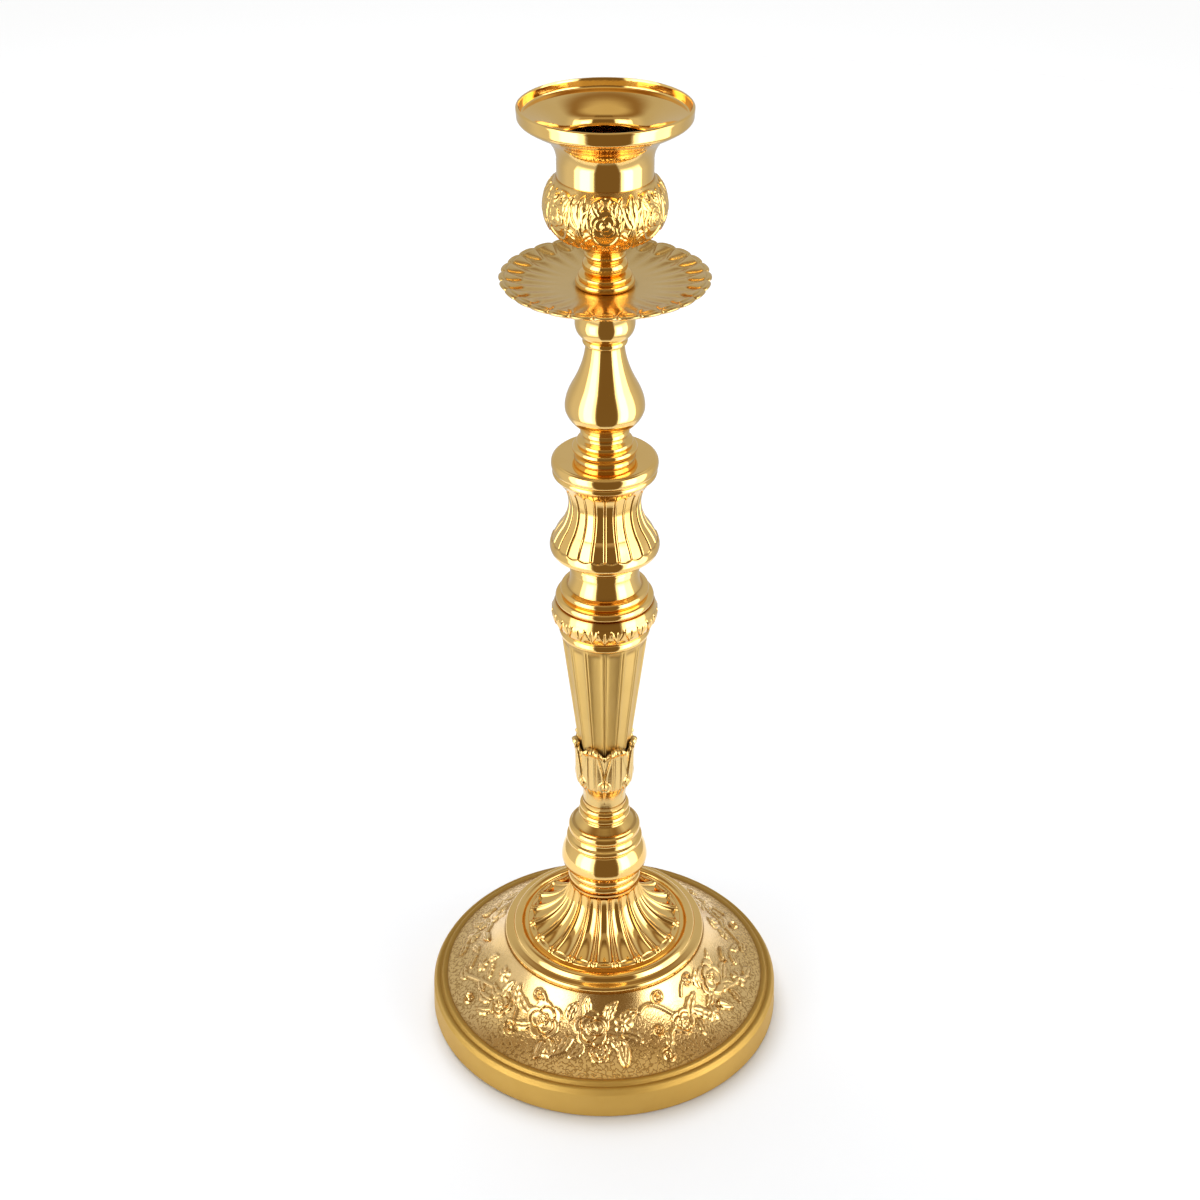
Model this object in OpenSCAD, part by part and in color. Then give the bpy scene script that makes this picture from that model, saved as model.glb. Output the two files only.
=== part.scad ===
// Altar candlestick: turned and cast brass pieces stacked on one threaded rod.
// Millimetres, +Z up, origin on the table under the middle of the foot.
// The rod clamps everything from the foot to the cup. The nozzle only rests in the cup and lifts out.

/* [Foot] */
// Diameter of the foot across its rim band
foot_d = 115.6; // [108:0.4:124]
// Height of the top of the rim band above the table
band_top = 10.2; // [9:0.1:12]
// Height of the top of the foot above the table
foot_h = 29.6; // [28:0.2:32]
// Wall thickness of the foot
foot_wall = 2.6; // [2:0.1:3]
// Diameter of the moulded ring on top of the foot
seat_d = 65.8; // [62:0.2:70]
// Thickness of the felt pad
felt_t = 1.5; // [1:0.1:2]

/* [Stem] */
// Number of flutes round the flared boss
boss_flutes = 20; // [16:1:28]
// Height of the flared boss
boss_h = 19.8; // [18:0.2:24]
// Greatest diameter of the knop below the column
knop_d = 27.4; // [25:0.2:29]
// Visible height of the tapered column above its leaf cup
column_h = 40; // [34:1:60]
// Diameter of the column at its top
column_top_d = 26.4; // [25:0.2:27]
// Diameter of the column where it leaves the leaf cup
column_foot_d = 16.6; // [16:0.2:17]
// Number of flutes round the column
column_flutes = 14; // [10:1:18]
// Height of the waisted spool
spool_h = 26; // [25:0.2:28]
// Number of flutes round the spool
spool_flutes = 24; // [16:1:28]
// Height of the pear-shaped baluster
baluster_h = 28.2; // [26:0.2:34]

/* [Drip pan] */
// Diameter of the drip pan across its lobes
pan_d = 58.8; // [54:0.2:64]
// Number of lobes round the edge of the drip pan
pan_lobes = 28; // [20:1:34]

/* [Cup and nozzle] */
// Greatest diameter of the cup
cup_d = 33.4; // [33:0.2:36]
// Diameter of the candle that the nozzle takes
candle_d = 22; // [20:0.2:22]
// Clearance round the candle
candle_gap = 0.3; // [0.2:0.05:0.5]
// Diameter of the nozzle's rim
rim_d = 47.2; // [44:0.2:52]

/* [Rod and fit] */
// Thread diameter of the rod
rod_d = 6; // [5.8:0.1:6]
// Clearance of a locating spigot in its recess
spigot_gap = 0.1; // [0.1:0.05:0.2]
// Clearance of the lift-out nozzle in the cup
nozzle_gap = 0.1; // [0.05:0.01:0.1]

/* [Hidden] */
$fn = 96;

gold = [0.86, 0.64, 0.27];
satin_gold = [0.80, 0.61, 0.30];
deep_gold = [0.78, 0.52, 0.16];
steel = [0.66, 0.67, 0.69];
iron = [0.27, 0.27, 0.28];
felt_green = [0.13, 0.30, 0.20];

foot_r = foot_d / 2;
seat_r = seat_d / 2;
pan_r = pan_d / 2;
cup_r = cup_d / 2;
rim_r = rim_d / 2;
rod_r = rod_d / 2;
rod_hole_r = rod_r + 0.3;
candle_r = candle_d / 2 + candle_gap;
steps = 8;                       // straight pieces in each curved stretch of an outline

// Locating spigots: each casting stands in the recess of the next one above.
spigot_r = 4.4;
spigot_h = 1.4;
recess_h = 1.6;

// Heights of the lesser pieces.
seat_ring_h = 2.8;
lower_collar_h = 5;
knop_h = 17.8;
knop_cap_h = 9;
leaf_cup_h = 23;
leaf_socket_h = 13;              // depth that the column stands in the leaf cup
leaf_band_h = 11.4;
column_collar_h = 5.6;
spool_neck_h = 10.8;
spool_disc_h = 5.9;
ring_collar_h = 7.1;
pan_collar_h = 16.2;
pan_t = 1.4;
cup_stem_h = 13.8;
cup_h = 17;
cup_floor_t = 2.2;
nozzle_h = 19.6;                 // height of the nozzle above the cup
plate_t = 1;

// Levels of the joints, from the table up.
lip_z = 0.3;                     // the felt stands this far below the rim
z_seat = foot_h;
z_boss = z_seat + seat_ring_h;
z_collar = z_boss + boss_h;
z_knop = z_collar + lower_collar_h;
z_cap = z_knop + knop_h;
z_leaf = z_cap + knop_cap_h;
z_column = z_leaf + leaf_cup_h - leaf_socket_h;
z_band = z_leaf + leaf_cup_h + column_h;
z_column_collar = z_band + leaf_band_h;
z_neck = z_column_collar + column_collar_h;
z_spool = z_neck + spool_neck_h;
z_disc = z_spool + spool_h;
z_ring = z_disc + spool_disc_h;
z_baluster = z_ring + ring_collar_h;
z_pan_collar = z_baluster + baluster_h;
z_pan = z_pan_collar + pan_collar_h;
z_stem = z_pan + pan_t;
z_cup = z_stem + cup_stem_h;
z_nozzle = z_cup + cup_h;

// Rod hardware.
weight_base_z = 3;
nut_pocket_r = 10;
nut_pocket_z = 12;
washer_t = 1.2;
lock_washer_t = 1.6;
nut_h = 5;
thin_nut_h = 3.2;
nut_flats = 10;                  // across the flats
rod_end = 1;                     // thread that stands out of a nut
z_cup_washer = z_cup + cup_floor_t;
z_rod_top = z_cup_washer + washer_t + thin_nut_h + 0.6;
z_rod_nut = nut_pocket_z - washer_t - lock_washer_t - nut_h;

// Cup and nozzle fit.
nozzle_spigot_r = candle_r + 1;
cup_bore_r = nozzle_spigot_r + nozzle_gap;
nozzle_drop = z_nozzle - z_rod_top - 0.4;    // length of the nozzle inside the cup
nozzle_floor_t = 1.4;
neck_r = nozzle_spigot_r + 0.8;
throat_z = nozzle_h - 10.2;      // the candle bore is straight below this
throat_roll = 3.3;               // width of the rolled edge round the bore
throat_edge_z = nozzle_h - 5.4;
dish_mid_r = (rim_r + candle_r) / 2 + 1;

// Points on a curve that leaves p0 towards p1 and arrives at p2 from p1.
function curve(p0, p1, p2, n = steps) =
    [for (i = [0:n]) let (t = i / n) (1 - t) * (1 - t) * p0 + 2 * t * (1 - t) * p1 + t * t * p2];

// Points on a circle's arc, from angle a to angle b.
function arc(c, r, a, b, n = steps) =
    [for (i = [0:n]) let (t = a + (b - a) * i / n) c + r * [cos(t), sin(t)]];

// Points on a half-round moulding from z0 up to z1 that swells by s beyond radius r.
function bead(z0, z1, r, s, n = steps) =
    [for (i = [0:n]) let (t = -90 + 180 * i / n)
        [r + s * cos(t), (z0 + z1) / 2 + (z1 - z0) / 2 * sin(t)]];

function reversed(p) = [for (i = [len(p) - 1:-1:0]) p[i]];

// Points moved inwards and downwards by d.
function sunk(p, d) = [for (q = p) q - [d, d]];

// A turned casting on the rod: the outline runs up the outside, h is its height.
// A recess under it takes the spigot of the piece below, and a spigot on top locates the piece above.
// spigot_reach lengthens the spigot, so that it can pass through a sheet.
module casting(outline, h, recess = true, spigot = true, spigot_reach = 0) {
    top = h + (spigot ? spigot_h + spigot_reach : 0);
    spigot_outline = spigot ? [[spigot_r, h], [spigot_r, top]] : [];
    recess_outline = recess ? [[spigot_r + spigot_gap, recess_h], [spigot_r + spigot_gap, 0]] : [];
    rotate_extrude() polygon(concat(outline, spigot_outline,
        [[rod_hole_r, top], [rod_hole_r, recess ? recess_h : 0]], recess_outline));
}

// n copies of a shape round the axis.
module around(n) {
    for (i = [0:n - 1]) rotate([0, 0, 360 * (i + 0.5) / n]) children();
}

// A round groove that follows an arc of radius bend, centred at radius r and height z.
module bent_flute(r, z, bend, width, from, to) {
    translate([r, 0, z]) rotate([90, 0, 0]) rotate([0, 0, from])
        rotate_extrude(angle = to - from) translate([bend, 0]) circle(d = width);
}

module hex_nut(h) {
    difference() {
        cylinder(d = nut_flats / cos(30), h = h, $fn = 6);
        translate([0, 0, -1]) cylinder(r = rod_r, h = h + 2);
    }
}

module washer(r, h) {
    difference() {
        cylinder(r = r, h = h);
        translate([0, 0, -1]) cylinder(r = rod_hole_r, h = h + 2);
    }
}

// ---- Foot ----

foot_in_r = foot_r - 2.8;
dome_edge = [foot_r - 5, band_top + 1.8];
dome_pull = [seat_r + 7.6, band_top + 6.6];
dome_top = [seat_r + 0.3, foot_h];
dome_inside = sunk([dome_edge, dome_pull, dome_top - [0, foot_wall / 4]], foot_wall * 0.75);
weight_edge = sunk(dome_inside, 0.6);

module felt_pad() {
    color(felt_green) cylinder(r = foot_in_r - 0.6, h = felt_t);
}

module bottom_plate() {
    color(steel) translate([0, 0, felt_t]) cylinder(r = foot_in_r - 0.1, h = plate_t);
}

module foot_weight() {
    top_z = foot_h - foot_wall;
    color(iron) rotate_extrude() polygon(concat(
        [[nut_pocket_r, weight_base_z], [foot_in_r - 0.8, weight_base_z], [foot_in_r - 0.8, band_top - 2.6]],
        curve(weight_edge[0], weight_edge[1], [weight_edge[2].x, top_z]),
        [[rod_hole_r, top_z], [rod_hole_r, nut_pocket_z], [nut_pocket_r, nut_pocket_z]]));
}

module foot() {
    color(satin_gold) rotate_extrude() polygon(concat(
        [[foot_in_r, lip_z], [foot_r - 0.5, lip_z], [foot_r, lip_z + 0.6], [foot_r - 0.3, band_top - 0.8],
            [foot_r - 0.8, band_top - 0.1]],
        arc([foot_r - 1.9, band_top], 1, 0, 140),
        arc([foot_r - 4, band_top + 1.2], 0.9, 0, 120),
        curve(dome_edge, dome_pull, dome_top),
        [[rod_hole_r, foot_h], [rod_hole_r, foot_h - foot_wall]],
        reversed(curve(dome_inside[0], dome_inside[1], [dome_inside[2].x, foot_h - foot_wall])),
        [[foot_in_r, band_top - 2]]));
}

module seat_ring() {
    color(gold) translate([0, 0, z_seat]) rotate_extrude() polygon(concat(
        [[seat_r - 13.9, 0], [seat_r, 0], [seat_r, 1.4], [seat_r - 0.5, 2.1], [seat_r - 2.6, 2.4]],
        arc([seat_r - 4.6, 2.6], 1.7, 10, 165),
        [[seat_r - 6.8, seat_ring_h], [seat_r - 13.9, seat_ring_h]]));
}

// ---- Stem ----

// The boss's flare is an arc that hollows the sides between its wide foot and its neck.
boss_foot_r = 25.2;
boss_neck_r = 11.2;
boss_bend = 16.4;
boss_bend_r = boss_neck_r + boss_bend;
boss_bend_z = boss_h - 1.4;

module fluted_boss() {
    color(gold) translate([0, 0, z_boss]) difference() {
        casting(concat(
            [[boss_foot_r, 0], [boss_foot_r, 1.2], [boss_foot_r - 1.2, 2.1]],
            arc([boss_bend_r, boss_bend_z], boss_bend, 258, 180),
            [[boss_neck_r + 0.5, boss_h - 0.9], [boss_neck_r + 0.5, boss_h]]), boss_h, recess = false);
        translate([0, 0, -1]) cylinder(r1 = 20, r2 = 6, h = 12);
        around(boss_flutes) bent_flute(boss_bend_r, boss_bend_z, boss_bend - 0.3, 1.8, 184, 250);
    }
}

module lower_collar() {
    color(gold) translate([0, 0, z_collar])
        casting(concat(bead(0, 2.6, 10.9, 0.8), bead(2.6, 5, 11.1, 0.5)), lower_collar_h);
}

module lower_knop() {
    r = knop_d / 2;
    color(gold) translate([0, 0, z_knop]) casting(concat(
        curve([r - 2.4, 0], [r + 0.9, 1.8], [r - 0.1, 5.8]),
        curve([r - 0.1, 5.8], [r - 0.5, 8.2], [r - 2.1, 10.2]),
        bead(10.4, 12.6, r - 2.4, 0.9), [[r - 3.1, 13.6]], bead(14.2, 17.3, r - 3.1, 0.9),
        [[r - 3.4, knop_h]]), knop_h);
}

module knop_cap() {
    color(gold) translate([0, 0, z_cap]) casting(concat(
        [[9.6, 0], [7.4, 1.8], [7.4, 2.6]], bead(2.8, 5.2, 7.2, 1), bead(5.4, 7.6, 7, 0.9),
        [[7, knop_cap_h]]), knop_cap_h);
}

// The leaf cup stands round the lower end of the column; its leaf tips are separated by round gaps.
column_foot_r = column_foot_d / 2;
column_top_r = column_top_d / 2;
column_slope = (column_top_r - column_foot_r) / column_h;
function column_r(z) = column_foot_r + column_slope * (z - leaf_socket_h);

module leaf_cup() {
    leaf_count = 7;
    color(gold) translate([0, 0, z_leaf]) difference() {
        casting(concat(
            curve([7, 0], [7.4, 4], [8.4, 8]), curve([8.4, 8], [9, 12], [9, 16]),
            [[9.2, leaf_cup_h - 2], [8.8, leaf_cup_h]]), leaf_cup_h, spigot = false);
        translate([0, 0, leaf_cup_h - leaf_socket_h])
            cylinder(r1 = column_r(0) + spigot_gap, r2 = column_r(leaf_socket_h + 1) + spigot_gap,
                h = leaf_socket_h + 1);
        around(leaf_count) translate([0, 0, leaf_cup_h]) rotate([0, 90, 0]) cylinder(r = 1.5, h = 12);
    }
}

module column() {
    h = leaf_socket_h + column_h;
    flute_d = 2.2;
    color(satin_gold) translate([0, 0, z_column]) difference() {
        casting([[column_r(0), 0], [column_r(h), h]], h, recess = false);
        around(column_flutes) translate([column_r(0) + flute_d / 3, 0, 0])
            rotate([0, atan(column_slope), 0]) translate([0, 0, leaf_socket_h])
                cylinder(d = flute_d, h = column_h - 3);
    }
}

module leaf_band() {
    bead_count = 24;
    color(gold) translate([0, 0, z_band]) union() {
        casting(concat(bead(0, 2.6, 13.2, 0.6), [[13.6, 2.8], [14.6, 4.4]],
            curve([14.6, 4.4], [16.2, 7.4], [15.4, 10.2]), [[14.9, leaf_band_h]]), leaf_band_h);
        around(bead_count) translate([14.9, 0, 6.6]) sphere(d = 2.2);
    }
}

module column_collar() {
    color(gold) translate([0, 0, z_column_collar])
        casting(concat(bead(0, 2.6, 13.9, 0.9), bead(2.8, 5.2, 12.4, 0.9),
            [[11.2, column_collar_h]]), column_collar_h);
}

module spool_neck() {
    color(deep_gold) translate([0, 0, z_neck]) casting(concat(
        curve([11.2, 0], [10.1, 2], [10.4, 5.6]), [[10.4, 7.2]], bead(7.6, 10.4, 10, 0.7),
        [[10, spool_neck_h]]), spool_neck_h);
}

// The spool is waisted: a full lip below, a hollow waist and a spreading top.
module spool() {
    waist_r = 11;
    waist_z = spool_h - 8.8;
    bend = 16;
    color(gold) translate([0, 0, z_spool]) difference() {
        casting(concat(
            [[13.4, 0], [15, 0.5]], curve([15, 0.5], [16.3, 1.2], [16.3, 3]),
            curve([16.3, 3], [15.8, 6.4], [12.9, waist_z - 7]),
            curve([12.9, waist_z - 7], [waist_r, waist_z - 3.6], [waist_r, waist_z]),
            curve([waist_r, waist_z], [11.4, spool_h - 3.6], [14.3, spool_h])), spool_h);
        around(spool_flutes) bent_flute(waist_r + bend, waist_z, bend - 0.1, 1.6, 153, 212);
    }
}

module spool_disc() {
    color(gold) translate([0, 0, z_disc]) casting(concat(
        [[14.4, 0]], bead(0.5, 2.1, 14.9, 0.4), bead(2.2, 5.5, 14.9, 0.7),
        [[14.6, spool_disc_h]]), spool_disc_h);
}

module ring_collar() {
    color(gold) translate([0, 0, z_ring]) casting(concat(
        curve([8.9, 0], [8.2, 1], [8.8, 1.9]), bead(2, 4, 8.7, 0.8), bead(4.2, 5.8, 7.6, 0.6),
        curve([7.4, 6], [6.4, 6.3], [6.4, ring_collar_h])), ring_collar_h);
}

module baluster() {
    belly_r = 11.4;
    belly_z = 8;
    neck_r = 5.5;
    color(gold) translate([0, 0, z_baluster]) casting(concat(
        bead(0, 2.2, 6.4, 0.7), curve([6.9, 2.6], [10.4, 4.6], [belly_r, belly_z]),
        curve([belly_r, belly_z], [belly_r + 0.5, belly_z + 3.2], [9.3, belly_z + 8]),
        curve([9.3, belly_z + 8], [5.9, belly_z + 14.2], [neck_r, baluster_h])), baluster_h);
}

// ---- Drip pan and cup ----

module pan_collar() {
    color(gold) translate([0, 0, z_pan_collar]) casting(concat(
        bead(0, 2, 5.6, 0.8), curve([6.2, 2.1], [8.7, 3.6], [8.5, 7]),
        curve([8.5, 7], [8.3, 11], [11.6, pan_collar_h - 1]), [[11.6, pan_collar_h]]),
        pan_collar_h, spigot_reach = pan_t);
}

module drip_pan() {
    lip_h = 3;
    notch_d = 2.2;
    color(satin_gold) translate([0, 0, z_pan]) difference() {
        rotate_extrude() polygon(concat(
            [[spigot_r + spigot_gap, 0]], curve([11.6, 0], [22, 0.6], [pan_r - 0.6, lip_h]),
            [[pan_r, lip_h + 0.7], [pan_r - 0.6, lip_h + 1.2]],
            reversed(curve([8.6, pan_t], [21, pan_t + 0.3], [pan_r - 1, lip_h + 1.2])),
            [[spigot_r + spigot_gap, pan_t]]));
        around(pan_lobes) translate([pan_r + 0.4, 0, 0]) cylinder(d = notch_d, h = lip_h + 4);
    }
}

module cup_stem() {
    color(gold) translate([0, 0, z_stem]) casting(concat(
        bead(0, 2, 7.6, 0.7), bead(2.1, 3.6, 7, 0.5), [[6.2, 3.8]], bead(4, 7.8, 4.8, 1.5), [[4.9, 8]],
        bead(8.2, 9.8, 5, 0.7), curve([5.2, 10], [7, 11], [8.6, cup_stem_h])), cup_stem_h);
}

// The cup is a round bowl with a straight bore that the nozzle stands in.
module cup_bowl() {
    color(deep_gold) translate([0, 0, z_cup]) difference() {
        rotate_extrude() polygon(concat(
            [[0, 0], [10.8, 0.4]], curve([12.9, 1.2], [cup_r - 0.8, 3.6], [cup_r, 8.2]),
            curve([cup_r, 8.2], [cup_r + 0.2, 12.8], [cup_bore_r + 2, 15.6]),
            [[cup_bore_r + 0.9, cup_h], [0, cup_h]]));
        translate([0, 0, cup_floor_t]) cylinder(r = cup_bore_r, h = cup_h);
        translate([0, 0, -1]) cylinder(r = spigot_r + spigot_gap, h = recess_h + 1);
        translate([0, 0, -1]) cylinder(r = rod_hole_r, h = cup_h);
    }
}

// The nozzle: a thin spigot in the cup, a plain neck, and a wide rim with a shallow dish.
module nozzle() {
    rim_low = nozzle_h - 3.7;
    color(gold) translate([0, 0, z_nozzle]) difference() {
        rotate_extrude() polygon(concat(
            [[0, -nozzle_drop], [nozzle_spigot_r, -nozzle_drop], [nozzle_spigot_r, 0], [neck_r, 0],
                [neck_r, 5.6]],
            curve([neck_r, 5.6], [neck_r + 0.5, 10.2], [rim_r - 5.8, 12.6]),
            curve([rim_r - 5.8, 12.6], [rim_r - 2.6, 14.2], [rim_r - 0.7, 15.6]),
            [[rim_r - 0.2, rim_low + 0.4], [rim_r, nozzle_h - 0.4], [rim_r - 0.3, nozzle_h],
                [rim_r - 0.8, nozzle_h], [rim_r - 1.2, nozzle_h - 2.5]],
            curve([rim_r - 1.3, nozzle_h - 2.6], [dish_mid_r, nozzle_h - 3.4],
                [candle_r + throat_roll, throat_edge_z]),
            curve([candle_r + throat_roll, throat_edge_z], [candle_r, nozzle_h - 7.2], [candle_r, throat_z]),
            [[0, throat_z]]));
        translate([0, 0, nozzle_floor_t - nozzle_drop]) cylinder(r = candle_r, h = throat_z + nozzle_drop);
    }
}

// ---- Rod ----

module tie_rod() {
    rod_z = z_rod_nut - rod_end;
    color(steel) translate([0, 0, rod_z]) cylinder(r = rod_r, h = z_rod_top - rod_z);
}

module rod_nut() {
    color(steel) translate([0, 0, z_rod_nut]) hex_nut(nut_h);
}

// A sprung split washer, cut through on one side.
module lock_washer() {
    color(steel) translate([0, 0, z_rod_nut + nut_h]) difference() {
        washer(5.4, lock_washer_t);
        translate([4, 0, lock_washer_t / 2]) rotate([30, 0, 0]) cube([6, 0.6, 6], center = true);
    }
}

module flat_washer() {
    color(steel) translate([0, 0, nut_pocket_z - washer_t]) washer(8.6, washer_t);
}

module cup_washer() {
    color(steel) translate([0, 0, z_cup_washer]) washer(7, washer_t);
}

module cup_nut() {
    color(steel) translate([0, 0, z_cup_washer + washer_t]) hex_nut(thin_nut_h);
}

felt_pad();
bottom_plate();
foot_weight();
rod_nut();
lock_washer();
flat_washer();
tie_rod();
foot();
seat_ring();
fluted_boss();
lower_collar();
lower_knop();
knop_cap();
leaf_cup();
column();
leaf_band();
column_collar();
spool_neck();
spool();
spool_disc();
ring_collar();
baluster();
pan_collar();
drip_pan();
cup_stem();
cup_bowl();
cup_washer();
cup_nut();
nozzle();
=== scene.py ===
import bpy
import bmesh
import numpy as np
from math import pi, radians
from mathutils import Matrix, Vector


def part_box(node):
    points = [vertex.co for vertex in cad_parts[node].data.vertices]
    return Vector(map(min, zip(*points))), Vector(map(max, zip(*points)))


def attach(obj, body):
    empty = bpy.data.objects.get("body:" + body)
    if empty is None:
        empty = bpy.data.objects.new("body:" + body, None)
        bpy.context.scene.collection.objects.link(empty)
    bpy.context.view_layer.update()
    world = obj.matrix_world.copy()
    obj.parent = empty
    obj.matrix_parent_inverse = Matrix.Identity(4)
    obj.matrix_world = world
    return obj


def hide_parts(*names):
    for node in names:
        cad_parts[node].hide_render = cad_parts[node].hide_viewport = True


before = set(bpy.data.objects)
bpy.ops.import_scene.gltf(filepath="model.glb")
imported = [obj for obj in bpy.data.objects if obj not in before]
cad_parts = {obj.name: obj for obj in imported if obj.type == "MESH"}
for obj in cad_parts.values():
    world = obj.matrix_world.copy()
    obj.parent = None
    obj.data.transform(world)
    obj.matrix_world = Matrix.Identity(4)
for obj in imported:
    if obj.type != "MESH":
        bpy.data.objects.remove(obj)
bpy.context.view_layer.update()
print("frame loaded:", len(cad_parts), "nodes")

mm = 0.001
turnOnce = 2 * pi
stand = "candlestick"     # the body that everything but the nozzle belongs to
jointShadeWidth = 0.35          # how far the painted shade of a joint reaches from each end of an outline, in mm
raisedFrom, raisedFull = 0.03, 0.25     # heights of relief between which the mark "raised" goes from 0 to 1
sharpAngle = radians(48)
onePoint = 1e-7           # points nearer than this, in metres, are one point


# outlines: lists of (radius, height) in millimetres

def curve(p0, p1, p2, n=14):
    # leaves p0 towards p1 and arrives at p2 from p1: (1-t)^2 p0 + 2t(1-t) p1 + t^2 p2
    t = np.linspace(0, 1, n + 1)[:, None]
    p0, p1, p2 = (np.array(p, float) for p in (p0, p1, p2))
    return (1 - t) ** 2 * p0 + 2 * t * (1 - t) * p1 + t ** 2 * p2


def arc(centre, r, a, b, n=14):
    # points at radius r round the centre, from angle a to angle b
    t = np.radians(np.linspace(a, b, n + 1))
    return np.array(centre, float) + r * np.column_stack([np.cos(t), np.sin(t)])


def bead(z0, z1, r, swell, n=14):
    # half an ellipse from z0 up to z1 that stands out by swell from radius r
    t = np.radians(np.linspace(-90, 90, n + 1))
    return np.column_stack([r + swell * np.cos(t), (z0 + z1) / 2 + (z1 - z0) / 2 * np.sin(t)])


def outline(*stretches):
    return np.vstack([np.atleast_2d(np.array(s, float)) for s in stretches])


def softened(points, step, blur, dense=(0, 1)):
    # the outline walked in even steps, each point the weighted mean of its neighbours within about blur mm,
    # so that every sharp turn comes out as a small round edge. Past the radius dense[0] there are dense[1]
    # times as many steps.
    fine = 0.04     # the walk's own short steps, in millimetres
    way = np.r_[0, np.cumsum(np.hypot(*np.diff(points, axis=0).T))]
    s = np.linspace(0, way[-1], int(way[-1] / fine) + 2)
    p = np.column_stack([np.interp(s, way, points[:, k]) for k in (0, 1)])
    half = max(1, int(3 * blur / fine))
    weight = np.exp(-0.5 * (np.arange(-half, half + 1) * fine / blur) ** 2)
    weight /= weight.sum()
    p = np.vstack([2 * p[0] - p[half:0:-1], p, 2 * p[-1] - p[-2:-half - 2:-1]])
    p = np.column_stack([np.convolve(p[:, k], weight, "valid") for k in (0, 1)])
    walked = np.cumsum(np.where(p[:, 0] > dense[0], dense[1], 1)) * fine
    stops = np.linspace(walked[0], walked[-1], max(3, int(walked[-1] / step) + 1))
    return p[np.searchsorted(walked, stops)]


# meshes: an outline carried round the axis

def smooth(x, low, high):
    # 0 below low, 1 above high and an S-shaped rise between them
    t = np.clip((x - low) / (high - low), 0, 1)
    return t * t * (3 - 2 * t)


def crevices(height, depth=0.16, reach=2):
    # how far each point lies below the mean of the points round it, as a share of depth
    near = sum(np.roll(height, (i, j), (0, 1)) for i in (-reach, 0, reach) for j in (-reach, 0, reach)) / 9
    return np.clip((near - height) / depth, 0, 1)


def meshFromRings(name, rings, marks):
    # rings is a (rows, columns, 3) net in metres that closes round the axis. Its last row meets its first.
    rows, cols = rings.shape[:2]
    i, j = np.meshgrid(np.arange(rows), np.arange(cols), indexing="ij")
    up, on = (i + 1) % rows, (j + 1) % cols
    faces = np.stack([i * cols + j, i * cols + on, up * cols + on, up * cols + j], -1).reshape(-1, 4)
    mesh = bpy.data.meshes.new(name)
    mesh.vertices.add(rows * cols)
    mesh.vertices.foreach_set("co", rings.reshape(-1).astype(np.float32))
    mesh.loops.add(faces.size)
    mesh.loops.foreach_set("vertex_index", faces.reshape(-1).astype(np.int32))
    mesh.polygons.add(len(faces))
    mesh.polygons.foreach_set("loop_start", np.arange(0, faces.size, 4, dtype=np.int32))
    mesh.update(calc_edges=True)
    for key, values in marks.items():
        layer = mesh.attributes.new(key, "FLOAT", "POINT")
        layer.data.foreach_set("value", values.reshape(-1).astype(np.float32))
    if np.hypot(rings[..., 0], rings[..., 1]).min() < onePoint:    # rings on the axis become single points
        joined = bmesh.new()
        joined.from_mesh(mesh)
        bmesh.ops.remove_doubles(joined, verts=joined.verts, dist=onePoint)
        bmesh.ops.dissolve_degenerate(joined, edges=joined.edges, dist=onePoint / 10)
        joined.to_mesh(mesh)
        joined.free()
    mesh.shade_smooth()
    mesh.set_sharp_from_angle(angle=sharpAngle)
    return mesh


def turned(name, node, look, skin, back=(), relief=None, body=stand, sway=None):
    # skin is what shows, from the bottom of the outside upwards. back closes the outline through the bore.
    # Every point stands at x = r sin a, y = -r cos a. relief(a, s, r, z) moves it along the outline's
    # normal, and sway(a, s, r, z) then moves it outwards and upwards.
    base = look["base"] if "base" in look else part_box(node)[0].z / mm
    step, blur, cols = look.get("step", 0.4), look.get("blur", 0.12), look.get("cols", 240)
    shown = softened(skin, step, blur, look.get("dense", (0, 1)))
    lean = np.gradient(shown, axis=0)
    lean /= np.hypot(lean[:, 0], lean[:, 1])[:, None]
    back = np.array(back, float).reshape(-1, 2)
    points = np.vstack([shown, back])
    a = np.arange(cols) * turnOnce / cols
    height = np.zeros((len(points), cols))
    s = np.r_[0, np.cumsum(np.hypot(*np.diff(shown, axis=0).T))]
    if relief:
        height[:len(shown)] = relief(a, s, shown[:, 0], shown[:, 1])
    normal = np.vstack([np.column_stack([lean[:, 1], -lean[:, 0]]), np.zeros_like(back)])
    r = points[:, :1] + normal[:, :1] * height
    z = points[:, 1:] + normal[:, 1:] * height
    if sway:
        dr, dz = sway(a, s, shown[:, 0], shown[:, 1])
        r[:len(shown)] += dr
        z[:len(shown)] += dz
    rings = np.stack([r * np.sin(a), -r * np.cos(a), z + base], -1) * mm
    # hollow marks where shade is painted into the tone: crevices in the relief, and both ends of the
    # outline, where this part meets the next. The finish also makes those places rougher.
    seam = np.zeros(len(points))
    seam[:len(shown)] = np.exp(-s / jointShadeWidth) + np.exp(-(s[-1] - s) / jointShadeWidth)
    marks = {"hollow": np.clip(crevices(height) + seam[:, None], 0, 1),
             "raised": smooth(height, raisedFrom, raisedFull)}
    piece = bpy.data.objects.new(name, meshFromRings(name, rings, marks))
    bpy.context.scene.collection.objects.link(piece)
    piece.data.materials.append(finishes[look["finish"]])
    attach(piece, body)
    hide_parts(node)
    print("  ", name, 2 * len(points) * cols, "triangles")
    return piece


# materials

class Value:
    # a shader socket that can be written in sums: each operator adds one Math node
    def __init__(self, maker, socket):
        self.maker, self.socket = maker, socket

    def math(self, operation, *values):
        return self.maker.add("Math", {"operation": operation}, dict(enumerate(values)))

    def __add__(self, other):
        return self.math("ADD", self, other)

    def __sub__(self, other):
        return self.math("SUBTRACT", self, other)

    def __rsub__(self, other):
        return self.math("SUBTRACT", other, self)

    def __mul__(self, other):
        return self.math("MULTIPLY", self, other)

    __radd__, __rmul__ = __add__, __mul__


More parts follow.
